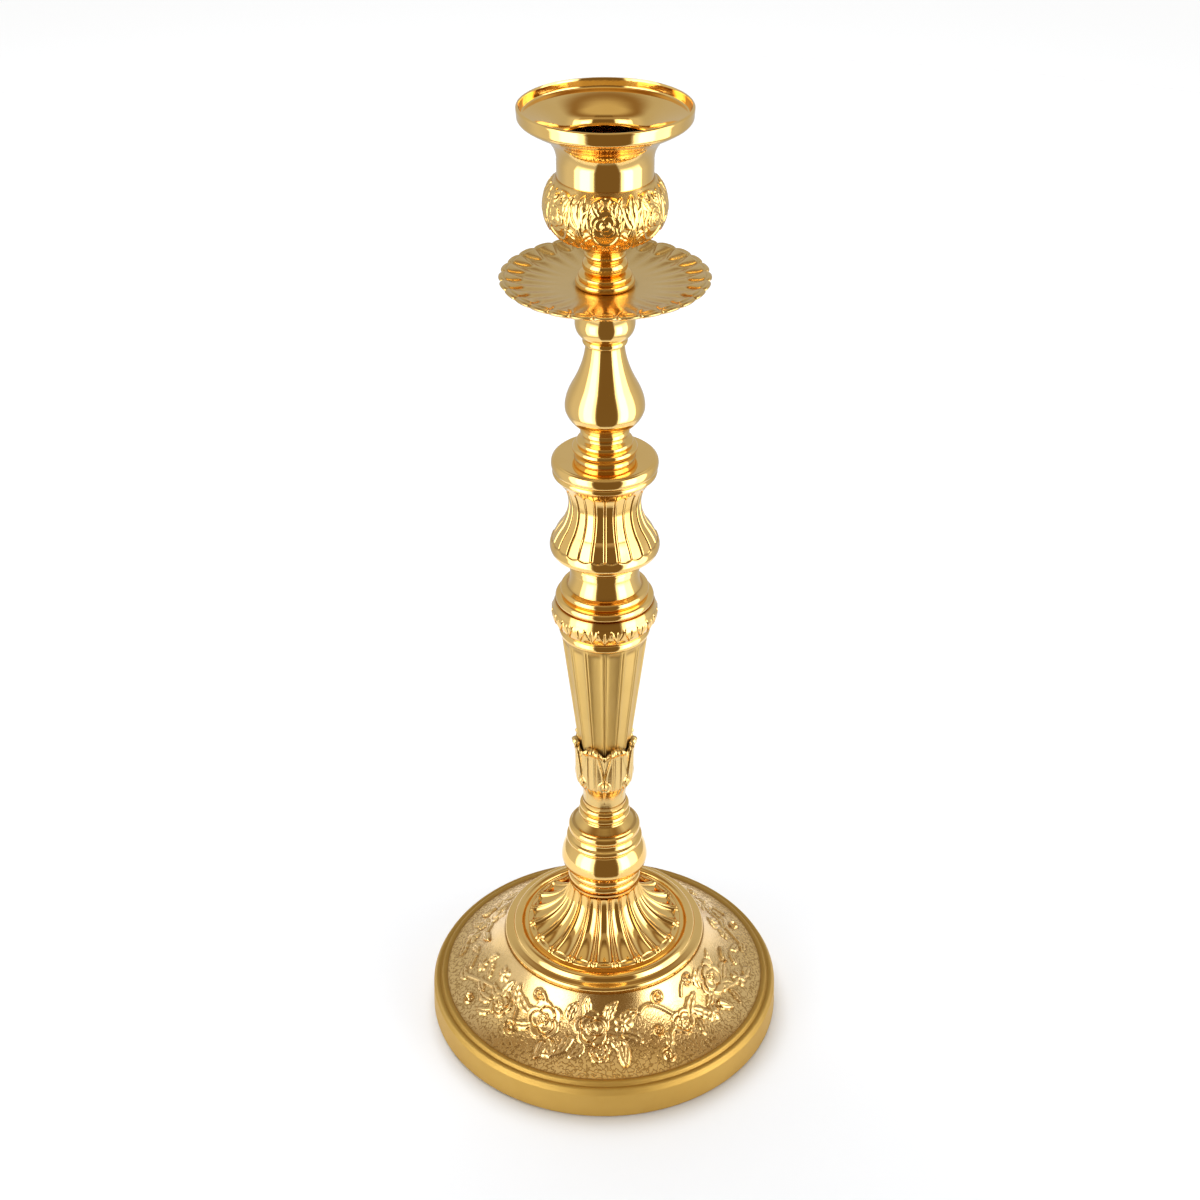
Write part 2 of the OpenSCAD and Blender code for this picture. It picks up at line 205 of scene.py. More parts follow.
class Maker:
    # adds nodes to one tree: settings first, then the sockets' values or links
    def __init__(self, tree):
        self.tree = tree
        tree.nodes.clear()

    def add(self, kind, settings=None, sockets=None, out=0):
        node = self.tree.nodes.new("ShaderNode" + kind)
        for key, setting in (settings or {}).items():
            setattr(node, key, setting)
        for key, value in (sockets or {}).items():
            if isinstance(value, Value):
                self.tree.links.new(value.socket, node.inputs[key])
            else:
                node.inputs[key].default_value = value
        return Value(self, node.outputs[out]) if node.outputs else None

    def blend(self, factor, a, b):
        return self.add("Mix", {"data_type": "RGBA"}, {0: factor, 6: a, 7: b}, out=2)

    def rise(self, value, low, high):
        return self.add("MapRange", {"interpolation_type": "SMOOTHSTEP"}, {0: value, 1: low, 2: high})

    def noise(self, vector, scale, detail=3.0):
        return self.add("TexNoise", None, {"Vector": vector, "Scale": scale, "Detail": detail})


def newMaterial(name):
    material = bpy.data.materials.new(name)
    material.use_nodes = True
    return material, Maker(material.node_tree)


def squiggles(maker, place, finish):
    # crooked engraved lines under a millimetre apart, where a noise passes through its middle value. The
    # finish sinks them and paints shade into them. They fade up the dome, from full at the height "full" to
    # a trace at "gone", and keep off raised ornament.
    off = maker.noise(place, finish["lineScale"], 1.0) - 0.5
    line = maker.rise(off.math("ABSOLUTE", off), finish["lineWidth"], 0.0)
    level = maker.add("SeparateXYZ", None, {0: place}, out=2)
    uneven = maker.noise(place, finish["patchScale"], 2.0) * finish["patchHigh"]
    full = maker.rise(level + uneven, finish["gone"], finish["full"])
    raised = maker.add("Attribute", {"attribute_name": "raised"}, None, out="Fac")
    return line * (finish["trace"] + (1 - finish["trace"]) * full) * (1 - raised * finish["keptOff"])


def surface(maker, colour, roughness, height, bumpHeight, metallic=1.0):
    normal = maker.add("Bump", None, {"Strength": 1.0, "Distance": bumpHeight, "Height": height})
    shader = maker.add("BsdfPrincipled", None, {"Base Color": colour, "Roughness": roughness,
                                                "Metallic": metallic, "Normal": normal})
    maker.add("OutputMaterial", None, {"Surface": shader})


def gold(name, finish):
    # plated brass: cloudy tone, with shade painted into the hollows and where parts meet as a darker,
    # redder tone, with turning rings, fine grain and polished ripples
    material, maker = newMaterial(name)
    place = maker.add("TexCoord", None, None, out="Object")
    flat = maker.add("VectorMath", {"operation": "MULTIPLY"}, {0: place, 1: (1, 1, 0)})
    radius = maker.add("VectorMath", {"operation": "LENGTH"}, {0: flat}, out="Value")
    level = maker.add("SeparateXYZ", None, {0: place}, out=2)
    hollow = maker.add("Attribute", {"attribute_name": "hollow"}, None, out="Fac")
    ring = maker.add("CombineXYZ", None, {0: radius, 2: level})
    rings = maker.noise(ring, finish["ringScale"], 2.0)
    clouds = maker.noise(place, finish["cloudScale"], 4.0)
    smears = maker.noise(place, finish["smearScale"], 5.0)
    grain = maker.noise(place, finish["grainScale"], 3.0)
    tone = maker.blend(maker.rise(clouds, 0.35, 0.7), finish["light"], finish["warm"])
    # painted shade: in the crevices and joints that hollow marks, the tone goes towards deep
    tone = maker.blend(hollow * finish["hollowShade"], tone, finish["deep"])
    roughness = finish["rough"] + (smears - 0.5) * finish["roughSpread"] + hollow * finish["hollowRough"]
    height = rings * finish["rings"] + grain * finish["grain"] + clouds * finish["ripple"]
    if "lineScale" in finish:
        line = squiggles(maker, place, finish)
        # painted shade in the engraved lines: their tone goes towards deep as they are sunk
        tone = maker.blend(line * finish["lineShade"], tone, finish["deep"])
        height = height - line * finish["lineDepth"]
    surface(maker, tone, roughness, height, finish["bump"])
    return material


def plainMetal(name, finish):
    # iron or zinc: a mottled tone with a fine cast or plated grain
    material, maker = newMaterial(name)
    place = maker.add("TexCoord", None, None, out="Object")
    mottle = maker.noise(place, finish["mottleScale"], 6.0)
    grain = maker.noise(place, finish["grainScale"], 4.0)
    tone = maker.blend(maker.rise(mottle, 0.35, 0.65), finish["light"], finish["dark"])
    roughness = finish["rough"] + (mottle - 0.5) * finish["roughSpread"]
    surface(maker, tone, roughness, grain + mottle * finish["lumps"], finish["bump"], finish["metal"])
    return material


def felt(name, finish):
    # pressed wool: short crossed fibres over a cloudy dye
    material, maker = newMaterial(name)
    place = maker.add("TexCoord", None, None, out="Object")
    clouds = maker.noise(place, finish["cloudScale"], 4.0)
    long = maker.add("Mapping", None, {"Vector": place, "Scale": (1, 6, 3)})
    across = maker.add("Mapping", None, {"Vector": place, "Scale": (6, 1, 3)})
    fibres = maker.noise(long, finish["fibreScale"], 5.0) + maker.noise(across, finish["fibreScale"], 5.0)
    tone = maker.blend(maker.rise(clouds + fibres * 0.4, 0.7, 1.1), finish["dark"], finish["light"])
    roughness = finish["rough"] + (clouds - 0.5) * finish["roughSpread"]
    surface(maker, tone, roughness, fibres, finish["bump"], 0.0)
    return material


# light and warm are the plating's own cloudy tones. deep is the darker, redder painted shade laid in
# hollows, at joints and in engraved lines.
def tones(light, warm, deep):
    return {"light": (*light, 1), "warm": (*warm, 1), "deep": (*deep, 1)}


# noise scales are in cycles per metre. bump, full and gone are in metres.
# in every gold finish the painted shade in hollows and at joints takes the tone three quarters of the way
# to deep
plating = {"cloudScale": 45.0, "smearScale": 260.0, "hollowShade": 0.75, "hollowRough": 0.08}
brightTones = tones((0.99, 0.66, 0.235), (0.95, 0.61, 0.19), (0.50, 0.29, 0.085))
satinTones = tones((0.71, 0.485, 0.165), (0.67, 0.45, 0.14), (0.40, 0.24, 0.07))
darkTones = tones((0.63, 0.405, 0.105), (0.59, 0.37, 0.09), (0.40, 0.24, 0.07))
paleTones = tones((0.86, 0.60, 0.24), (0.80, 0.55, 0.21), (0.60, 0.40, 0.13))
domeTones = tones((1.0, 0.70, 0.32), (0.96, 0.65, 0.26), (0.50, 0.29, 0.085))
polished = {**plating, **brightTones, "rough": 0.06, "roughSpread": 0.06, "ringScale": 1400.0,
            "grainScale": 2600.0, "rings": 0.10, "grain": 0.05, "ripple": 0.9, "bump": 0.00006}
satin = {**plating, **satinTones, "rough": 0.40, "roughSpread": 0.10, "ringScale": 2600.0,
         "grainScale": 5200.0, "rings": 0.35, "grain": 0.45, "ripple": 0.6, "bump": 0.00006}
brushed = {**satin, **darkTones, "rough": 0.54}
lacquered = {**satin, **paleTones, "rough": 0.17}
embossed = {**plating, **brightTones, "rough": 0.15, "roughSpread": 0.08, "ringScale": 1400.0,
            "grainScale": 1900.0, "rings": 0.0, "grain": 0.3, "ripple": 0.8, "bump": 0.0001}
# the painted shade in the engraved lines takes their tone nine tenths of the way to deep
engraved = {**embossed, **domeTones, "rough": 0.20, "lineScale": 680.0, "lineWidth": 0.085, "lineShade": 0.9,
            "lineDepth": 0.35, "patchScale": 60.0, "patchHigh": 0.008, "full": 0.021, "gone": 0.030,
            "trace": 0.1, "keptOff": 0.9}
zinc = {"light": (0.62, 0.64, 0.66, 1), "dark": (0.42, 0.44, 0.47, 1), "mottleScale": 320.0,
        "grainScale": 2400.0, "rough": 0.36, "roughSpread": 0.2, "lumps": 0.6, "bump": 0.00004,
        "metal": 1.0}
iron = {"light": (0.10, 0.10, 0.105, 1), "dark": (0.05, 0.048, 0.046, 1), "mottleScale": 150.0,
        "grainScale": 1100.0, "rough": 0.72, "roughSpread": 0.2, "lumps": 0.6, "bump": 0.0003,
        "metal": 0.6}
feltGreen = {"light": (0.055, 0.16, 0.085, 1), "dark": (0.025, 0.085, 0.045, 1), "cloudScale": 90.0,
             "fibreScale": 700.0, "rough": 0.94, "roughSpread": 0.08, "bump": 0.0004}

finishes = {"polished": gold("polished gold", polished), "satin": gold("satin gold", satin),
            "brushed": gold("brushed gold", brushed), "lacquered": gold("lacquered gold", lacquered),
            "embossed": gold("embossed gold", embossed), "engraved": gold("engraved gold", engraved),
            "zinc": plainMetal("zinc steel", zinc), "iron": plainMetal("cast iron", iron),
            "felt": felt("green felt", feltGreen)}
print("materials made:", len(finishes))


# chased ornament: heights on a net of angles a and lengths s up the surface

def net(a, s, around, along, seed):
    # random heights from 0 to 1 on a net of cells, joined by smooth steps
    draw = np.random.default_rng(seed).random((int(s.max() / along) + 3, around))
    x, y = a / turnOnce * around, s / along
    j, i = np.floor(x).astype(int), np.floor(y).astype(int)
    fx, fy = smooth(x - j, 0, 1)[None, :], smooth(y - i, 0, 1)[:, None]
    i, j, on = i[:, None], j[None, :] % around, (j[None, :] + 1) % around
    low = draw[i, j] * (1 - fx) + draw[i, on] * fx
    high = draw[i + 1, j] * (1 - fx) + draw[i + 1, on] * fx
    return low * (1 - fy) + high * fy


def rose(u, v):
    # broad petals laid over one another from the outside in, each swelling to its lip and parted from the
    # next by a sunk outline, round a heart wound in a spiral
    body = np.zeros_like(u)
    # the outer and inner ring: distance from the heart, petal size, number, level and first petal's angle
    for reach, size, petals, level, start in ((0.5, 0.5, 5, 0.5, 0.3), (0.3, 0.4, 3, 0.75, 0.9)):
        for angle in start + np.arange(petals) * turnOnce / petals:
            far = np.hypot(u - reach * np.cos(angle), v - reach * np.sin(angle)) / size
            inside = smooth(far, 1.0, 0.9)
            cup = level * (0.75 + 0.25 * smooth(far, 0.2, 0.8))
            sunk = 0.35 * level * np.exp(-((far - 1.06) / 0.1) ** 2) * (body > 0)
            body = body * (1 - inside) + cup * inside - sunk
    far, angle = np.hypot(u, v), np.arctan2(v, u)
    heart = 0.95 - 0.35 * np.cos(3 * pi * (far / 0.34) - angle) ** 8
    return np.clip(body + (heart - body) * smooth(far, 0.36, 0.3), 0, 1)


def leaf(u, v):
    # a pointed blade with a wavy edge, a sunk midrib and faint slanting veins, curved to one side
    v = v + 0.22 * u ** 2
    width = 0.46 * np.sqrt(np.clip(1 + u, 0, 2)) * np.clip(1 - u, 0, 2) ** 0.8 * (1 + 0.10 * np.sin(9 * u))
    inside = np.clip(1 - (v / np.maximum(width, 1e-6)) ** 2, 0, 1)
    veins = 0.07 * np.cos(turnOnce * (1.8 * u - 1.6 * np.abs(v)))
    rib = 0.45 * np.exp(-(v / 0.09) ** 2)
    return np.clip(0.75 * inside ** 0.35 + (veins - rib) * np.sqrt(inside), 0, 1)


def bud(u, v):
    # a drop with a three-part tip, on its side
    width = 0.52 * np.sqrt(np.clip(1 - u ** 2, 0, 1)) * (1.1 - 0.35 * u)
    inside = np.clip(1 - (v / np.maximum(width, 1e-6)) ** 2, 0, 1)
    folds = 0.3 * np.exp(-((np.abs(v) - 0.16 * (1 - u)) / 0.06) ** 2)
    return np.clip(np.sqrt(inside) * (1 - folds), 0, 1)


def curl(u, v):
    # a ridge along a spiral of one and a half turns that thins towards its eye
    far, angle = np.hypot(u, v), np.arctan2(v, u)
    turns, pitch = 1.5, 0.56
    off = ((far - 0.1) / pitch - angle / turnOnce + 0.5) % 1 - 0.5
    reach = 0.1 + pitch * turns
    return np.exp(-(off * pitch / 0.13) ** 2) * smooth(far, reach, reach - 0.12) * smooth(far, 0.0, 0.25)


def blossom(u, v):
    # five round petals about a button
    far, angle = np.hypot(u, v), np.arctan2(v, u)
    petal = np.abs(np.cos(2.5 * angle))
    edge = 0.45 + 0.5 * petal ** 0.5
    body = 0.7 * np.clip(1 - (far / edge) ** 2, 0, 1) ** 0.5 * (0.6 + 0.4 * petal)
    return np.maximum(body, 0.9 * np.clip(1 - (far / 0.26) ** 2, 0, 1) ** 0.5)


shapes = {"rose": rose, "leaf": leaf, "bud": bud, "curl": curl, "blossom": blossom}


def stamp(height, a, s, r, shape, angle, up, size, turn, lift):
    # lays a shape on the net round one point, turned by turn degrees, and keeps the higher surface
    reach = 1.25 * size
    da = (a - radians(angle) + pi) % turnOnce - pi
    rows = np.flatnonzero(np.abs(s - up) < reach)
    cols = np.flatnonzero(np.abs(da) * r.min() < reach)
    x = da[cols][None, :] * r[rows][:, None]
    y = (s[rows] - up)[:, None]
    c, k = np.cos(radians(turn)), np.sin(radians(turn))
    patch = lift * shapes[shape]((x * c + y * k) / size, (y * c - x * k) / size)
    part = np.ix_(rows, cols)
    height[part] = np.maximum(height[part], patch)


def vine(height, a, s, r, start, pull, end, width, lift):
    # a rounded ridge along a curve from start to end, given as (degrees, millimetres up)
    path = curve(start, pull, end, 30)
    middle = radians(path[:, 0].mean())
    da = (a - middle + pi) % turnOnce - pi
    near, reach = np.interp(path[:, 1].mean(), s, r), 3 * width
    x0 = (np.radians(path[:, 0]) - middle) * near
    rows = np.flatnonzero((s > path[:, 1].min() - reach) & (s < path[:, 1].max() + reach))
    cols = np.flatnonzero(np.abs(da) * near < np.abs(x0).max() + reach)
    x, y = (da[cols] * near)[None, :, None], s[rows][:, None, None]
    apart = np.sqrt(((x - x0) ** 2 + (y - path[:, 1]) ** 2).min(-1))
    part = np.ix_(rows, cols)
    height[part] = np.maximum(height[part], lift * np.exp(-(apart / width) ** 2))


# foot

foot = {"finish": "engraved", "slot": "embossed_gold", "radius": 57.8, "bandTop": 10.2, "seat": 33.2,
        "top": 29.6, "wall": 2.6, "bore": 3.3, "cols": 1000, "step": 0.30, "blur": 0.1, "lift": 1.1,
        "repeats": 2,
        # each flower: which, degrees round, mm up the dome, size in mm, turn in degrees
        "flowers": [("rose", -29, 15.5, 6.4, 20), ("rose", -6, 16.0, 6.0, 80), ("rose", -2, 8.6, 3.6, 10),
                    ("rose", -53, 12.5, 4.6, 0), ("rose", 64, 17.5, 6.4, 40), ("rose", 37, 12.5, 4.4, 110),
                    ("blossom", 9, 17.0, 3.2, 0), ("blossom", 77, 8.0, 3.4, 20),
                    ("blossom", -62, 20.0, 3.0, 50), ("blossom", 52, 9.5, 3.2, 70),
                    ("blossom", -79, 14.0, 2.8, 0), ("bud", 8, 7.0, 3.6, -90), ("bud", -26, 6.0, 3.2, -100),
                    ("bud", 60, 8.0, 3.0, -60), ("bud", 84, 16.0, 2.8, 30)],
        # each leaf and curl: degrees round, mm up, size, turn
        "leaves": [(-42, 17, 4.2, 150), (-38, 11, 3.4, 200), (-17, 9, 3.6, 250), (-17, 21, 3.4, 70),
                   (-22, 7.5, 3.2, 290), (-9, 23, 3.0, 100), (3, 22, 3.6, 60), (13, 13, 3.8, 330),
                   (12, 20, 3.4, 20),
                   (5, 11.5, 3.2, 300), (-11, 8, 3.4, 230), (-48, 18.5, 3.8, 110), (-55, 18, 3.6, 80),
                   (-60, 14, 3.4, 170), (-63, 9.5, 3.4, 190), (-58, 6.5, 3.0, 210), (-70, 11, 3.0, 160),
                   (-72, 16.5, 3.0, 120), (-82, 6, 3.2, 175), (-86, 10, 2.8, 140), (-77, 19.5, 2.8, 60),
                   (28, 9, 3.0, 250), (45, 16.5, 4.2, 40), (48, 11.5, 3.6, 300), (44, 8, 3.0, 260),
                   (55, 21.5, 3.4, 70), (56, 13, 3.4, 210), (70, 11.5, 3.6, 320), (75, 15, 3.8, 10),
                   (72, 22, 3.2, 60), (84, 5.5, 3.0, 345), (68, 6.5, 3.0, 250), (87, 11.5, 2.8, 30)],
        "curls": [(-42, 8.5, 3.0, 60), (-36, 22.5, 2.6, 200), (29, 23, 2.6, 30), (25, 13, 2.4, 150),
                  (25, 4.6, 2.8, 280), (50, 23.5, 2.6, 100), (-68, 4.8, 2.4, 0)],
        # each vine: its start, pull and end as (degrees round, mm up)
        "vines": [((-36, 24), (-28, 22), (-33, 18)), ((-45, 16), (-42, 12), (-43, 9)),
                  ((18, 20), (24, 25), (34, 16)), ((35, 13), (27, 11), (27, 5)),
                  ((42, 20), (46, 27), (54, 21)), ((-14, 12), (-16, 6), (-24, 5)),
                  ((2, 12), (10, 14), (9, 9)), ((66, 11), (74, 9), (82, 5)),
                  ((-64, 14), (-72, 12), (-80, 7))]}
rimOut = foot["radius"]
domeEdge = (rimOut - 5, foot["bandTop"] + 1.8)
domePull = (foot["seat"] + 7.3, foot["bandTop"] + 6.6)
domeIn = 0.75 * foot["wall"]


def footRelief(a, s, r, z):
    # garlands of roses that fade out at both ends of the dome. The finish adds the engraved ground.
    height = np.zeros((len(s), len(a)))
    for n in range(foot["repeats"]):
        shift = 360 / foot["repeats"] * n
        for start, pull, end in foot["vines"]:
            points = [(p[0] + shift, p[1]) for p in (start, pull, end)]
            vine(height, a, s, r, *points, 0.5, 0.55 * foot["lift"])
        for angle, up, size, turn in foot["leaves"]:
            stamp(height, a, s, r, "leaf", angle + shift, up, size, turn, 0.75 * foot["lift"])
        for angle, up, size, turn in foot["curls"]:
            stamp(height, a, s, r, "curl", angle + shift, up, size, turn, 0.7 * foot["lift"])
        for shape, angle, up, size, turn in foot["flowers"]:
            stamp(height, a, s, r, shape, angle + shift, up, size, turn, foot["lift"])
    return height * smooth(s, 0, 0.8)[:, None] * smooth(s, s[-1], s[-1] - 1.2)[:, None]


underDome = curve((foot["seat"], foot["top"] - 0.65), domePull, domeEdge, 5) - domeIn
turned("foot_dome", "foot", {**foot, "base": 0}, curve(domeEdge, domePull, (foot["seat"], foot["top"]), 60),
       outline([(foot["bore"], foot["top"]), (foot["bore"], foot["top"] - foot["wall"])], underDome),
       footRelief)

rim = {"finish": "brushed", "slot": "embossed_gold", "base": 0, "cols": 400, "step": 0.3, "blur": 0.12}
turned("foot_rim", "foot", rim,
       outline([(rimOut - 2.8, 0.3), (rimOut - 0.5, 0.3), (rimOut, 0.9), (rimOut - 0.3, 9.4),
                (rimOut - 0.8, 10.1)], arc((rimOut - 1.9, 10.2), 1, 0, 140),
               arc((rimOut - 4, 11.4), 0.9, 0, 120), [domeEdge]),
       [(domeEdge[0] - domeIn, domeEdge[1] - domeIn), (rimOut - 2.8, 8.2)])

seatRing = {"finish": "polished", "slot": "polished_gold", "radius": 32.9, "hole": 19.0, "h": 2.8,
            "cols": 360, "step": 0.3}
ringOut, ringIn, ringTop = seatRing["radius"], seatRing["hole"], seatRing["h"]
turned("seat_ring_skin", "seat_ring", seatRing,
       outline([(ringOut, 0), (ringOut, 1.4), (ringOut - 0.5, 2.1), (ringOut - 2.6, 2.4)],
               arc((ringOut - 4.6, 2.6), 1.7, 10, 165), [(ringOut - 6.8, ringTop), (ringIn, ringTop)]),
       [(ringIn, 0)])
print("foot made")


# stem

bore = 3.3                          # radius of the rod's hole through every casting
tang, tangHigh = 4.4, 1.4           # radius and height of the spigot on top of a casting
recess, recessHigh = 4.5, 1.6       # radius and height of the recess under it


def casting(h, tangReach=0, under=True):
    # the hidden way back from the top of a casting: its spigot, its bore and its recess
    top = h + (tangHigh + tangReach)
    socket = [(recess, recessHigh), (recess, 0)] if under else []
    return [(tang, h), (tang, top), (bore, top), (bore, recessHigh if under else 0)] + socket


boss = {"finish": "polished", "slot": "polished_gold", "h": 19.8, "flutes": 20, "cols": 720, "step": 0.22,
        "blur": 0.08, "rib": 0.12, "deep": 0.2, "seam": 0.35, "seamWide": 0.17, "end": 2.8,
        # each knuckle: its height, its place beside the seam and up the side, its half sizes
        "nub": 0.4, "nubBeside": 0.75, "nubUp": 2.4, "nubWide": 0.72, "nubLong": 1.3}


def bossRelief(a, s, r, z):
    # hollow flutes as deep as a share of their width, split by pairs of narrow ribs that end in knuckles
    off = np.abs((a / turnOnce * boss["flutes"]) % 1 - 0.5)[None, :]    # 0 between two ribs, 0.5 mid flute
    pitch, up = (turnOnce * r / boss["flutes"])[:, None], s[:, None]
    hollow = np.sqrt(np.clip(1 - ((0.5 - off) / (0.5 - boss["rib"])) ** 2, 0, 1))
    end = boss["end"] - 1.0 * hollow
    live = smooth(up, end, end + 2.0) * smooth(up, s[-1] - 1.7, s[-1] - 2.6)
    seam = boss["seam"] * np.exp(-(off * pitch / boss["seamWide"]) ** 2) * smooth(up, 1.6, 2.0)
    beside = np.abs(off * pitch - boss["nubBeside"]) / boss["nubWide"]
    along = (up - boss["nubUp"]) / boss["nubLong"]
    nubs = boss["nub"] * np.sqrt(np.clip(1 - beside ** 2 - along ** 2, 0, 1))
    return -boss["deep"] * pitch * hollow ** 0.8 * live - seam * live + nubs


# the boss is hollow below, where its bore widens into a cone
turned("fluted_boss_skin", "fluted_boss", boss,
       outline([(25.2, 0), (25.2, 1.2), (24, 2.1)], arc((27.6, 18.4), 16.4, 258, 180, 30),
               [(11.7, 18.9), (11.7, boss["h"])]),
       casting(boss["h"])[:3] + [(bore, 14.2), (6, 11), (19.2, 0)], bossRelief)

collar = {"finish": "polished", "slot": "polished_gold", "h": 5, "step": 0.2, "blur": 0.1}
turned("lower_collar_skin", "lower_collar", collar,
       outline(bead(0, 2.6, 10.9, 0.8), bead(2.6, collar["h"], 11.1, 0.5)), casting(collar["h"]))

knop = {"finish": "polished", "slot": "polished_gold", "radius": 13.7, "h": 17.8, "step": 0.28, "cols": 300}
knopOut = knop["radius"]
turned("lower_knop_skin", "lower_knop", knop,
       outline(curve((knopOut - 2.4, 0), (knopOut + 0.9, 1.8), (knopOut - 0.1, 5.8)),
               curve((knopOut - 0.1, 5.8), (knopOut - 0.5, 8.2), (knopOut - 2.1, 10.2)),
               bead(10.4, 12.6, knopOut - 2.4, 0.9), [(knopOut - 3.1, 13.6)],
               bead(14.2, 17.3, knopOut - 3.1, 0.9), [(knopOut - 3.4, knop["h"])]), casting(knop["h"]))

cap = {"finish": "polished", "slot": "polished_gold", "h": 9, "step": 0.2, "blur": 0.1}
turned("knop_cap_skin", "knop_cap", cap,
       outline([(9.6, 0), (7.4, 1.8), (7.4, 2.6)], bead(2.8, 5.2, 7.2, 1), bead(5.4, 7.6, 7, 0.9),
               [(7, cap["h"])]), casting(cap["h"]))

leafCup = {"finish": "lacquered", "slot": "polished_gold", "h": 23, "leaves": 7, "socket": 13, "cols": 700,
           "step": 0.22, "blur": 0.08, "lift": 0.6, "curl": 0.75, "lips": 2.5, "curlUp": 22.2,
           # heights of the small features, and the level of the bead under each gap
           "edge": 0.2, "vein": 0.32, "dart": 0.35, "drop": 0.75, "loop": 0.25, "line": 0.2, "dropUp": 9.8}
cupFloor = leafCup["h"] - leafCup["socket"]     # the column stands on it


def leafRelief(a, s, r, z):
    # seven broad leaves whose edges part in a V, with a dart in each gap, a bead under it and soft veins
    n = leafCup["leaves"]
    off = ((a / turnOnce * n) % 1 - 0.5) / n * turnOnce     # angle from the middle of a leaf
    x = np.abs(off)[None, :] * r[:, None]                   # millimetres from its middle line
    gap = (pi / n) * r[:, None] - x                         # millimetres from the middle of the gap
    up = z[:, None]
    vee = 0.3 + 1.5 * smooth(up, 12.5, 22.5)                # half width of the gap
    body = smooth(up, 4.5, 9.5)
    blade = smooth(gap, vee - 0.1, vee + 0.3) * body * (0.7 + 0.3 * np.cos(x / r[:, None] * 4.5))
    edge = leafCup["edge"] * np.exp(-((gap - vee - 0.3) / 0.2) ** 2) * smooth(up, 11, 13)
    away = x - 0.30 * pi / n * r[:, None]                   # millimetres from a vein
    veins = leafCup["vein"] * np.exp(-(away / 0.26) ** 2) * smooth(up, 22.0, 20.0)
    dart = leafCup["dart"] * np.clip(1 - gap / (0.2 + 0.1 * (up - 12.5)), 0, 1)
    dart = dart * smooth(up, 12.5, 14) * smooth(up, 22.4, 21)
    above = up - leafCup["dropUp"]
    drop = leafCup["drop"] * np.sqrt(np.clip(1 - (gap / 0.95) ** 2 - (above / 1.3) ** 2, 0, 1))
    loop = leafCup["loop"] * np.exp(-((np.hypot(gap, above * 0.8) - 1.7) / 0.24) ** 2)
    line = leafCup["line"] * np.exp(-(gap / 0.2) ** 2) * smooth(up, 1.5, 3) * smooth(up, 8.4, 7.4)
    return leafCup["lift"] * blade + edge - veins * body + dart + np.maximum(drop, loop) - line


def leafSway(a, s, r, z):
    # each leaf ends in a few small rolled lips along an arched edge that dips deepest between the leaves
    n = leafCup["leaves"]
    off = np.abs(((a / turnOnce * n) % 1 - 0.5) * 2)[None, :]    # 0 in the middle of a leaf, 1 in the gap
    lips = np.abs(np.sin(pi * leafCup["lips"] * (off + 0.2)))
    high = smooth(z, 15, 23)[:, None]
    roll = leafCup["curl"] * np.exp(-((z - leafCup["curlUp"]) / 0.75) ** 2)[:, None] * (0.35 + 0.65 * lips)
    return roll * smooth(off, 0.95, 0.7), (0.5 - 2.2 * off ** 2.5 + 0.35 * lips * (1 - off)) * high


turned("leaf_cup_skin", "leaf_cup", leafCup,
       outline(curve((6.8, 0), (6.5, 4), (8.4, 8)), curve((8.4, 8), (8.75, 12), (8.75, 16)),
               [(8.8, 20), (9.0, 22.6), (8.75, leafCup["h"]), (8.5, 22.6)]),
       [(8.42, 21), (6.75, cupFloor), (bore, cupFloor), (bore, recessHigh), (recess, recessHigh),
        (recess, 0)], leafRelief, sway=leafSway)

column = {"finish": "satin", "slot": "satin_gold", "foot": 8.3, "top": 13.2, "h": 53,
          "socket": leafCup["socket"], "panels": 14, "cols": 560, "step": 0.7, "blur": 0.1, "hollow": 0.34,
          "line": 0.26}
taper = (column["top"] - column["foot"]) / (column["h"] - column["socket"])     # above the leaf cup's rim


def columnRelief(a, s, r, z):
    # broad shallow flutes between thin sunk lines. A flute in a panel 4 mm wide is "hollow" deep.
    off = np.abs((a / turnOnce * column["panels"] + 0.5) % 1 - 0.5)[None, :]    # 0 on a line, 0.5 mid panel
    wide = (turnOnce * r / column["panels"])[:, None]
    flute = column["hollow"] * np.sqrt(np.clip(1 - ((0.5 - off) / 0.36) ** 2, 0, 1)) * (wide / 4)
    line = column["line"] * np.exp(-(off * wide / 0.13) ** 2)
    return -(flute + line) * smooth(z, column["h"] - 0.8, column["h"] - 1.6)[:, None]


turned("column_skin", "column", column,
       outline([(column["top"] - taper * column["h"], 0), (column["top"], column["h"])]),
       casting(column["h"], under=False), columnRelief)

band = {"finish": "polished", "slot": "polished_gold", "h": 11.4, "tips": 24, "cols": 672, "step": 0.22,
        "blur": 0.1, "lift": 0.32, "lip": 0.14, "rib": 0.25}


def bandRelief(a, s, r, z):
    # a row of pointed leaf tips hangs round the lower half, each with a midrib and a raised edge
    off = np.abs((a / turnOnce * band["tips"] + 0.5) % 1 - 0.5)[None, :] * 2    # 0 mid leaf, 1 between two
    half = (pi * r / band["tips"])[:, None]
    up = z[:, None]
    point = smooth(up, 3.2, 8.6)
    edge = (point - off) * half
    blade = band["lift"] * smooth(edge, 0, 0.3) * smooth(up, 9.6, 8.2)
    lip = band["lip"] * np.exp(-((edge - 0.32) / 0.2) ** 2) * smooth(up, 9.4, 8.2)
    rib = band["rib"] * np.exp(-(off * half / 0.16) ** 2) * smooth(up, 4, 5) * smooth(up, 9, 8)
    return (blade + lip - rib) * smooth(up, 2.9, 3.6)


turned("leaf_band_skin", "leaf_band", band,
       outline(bead(0, 2.6, 13.2, 0.6), [(13.6, 2.8), (14.6, 4.4)],
               curve((14.6, 4.4), (16.2, 7.4), (15.4, 10.2)), [(14.9, band["h"])]), casting(band["h"]),
       bandRelief)

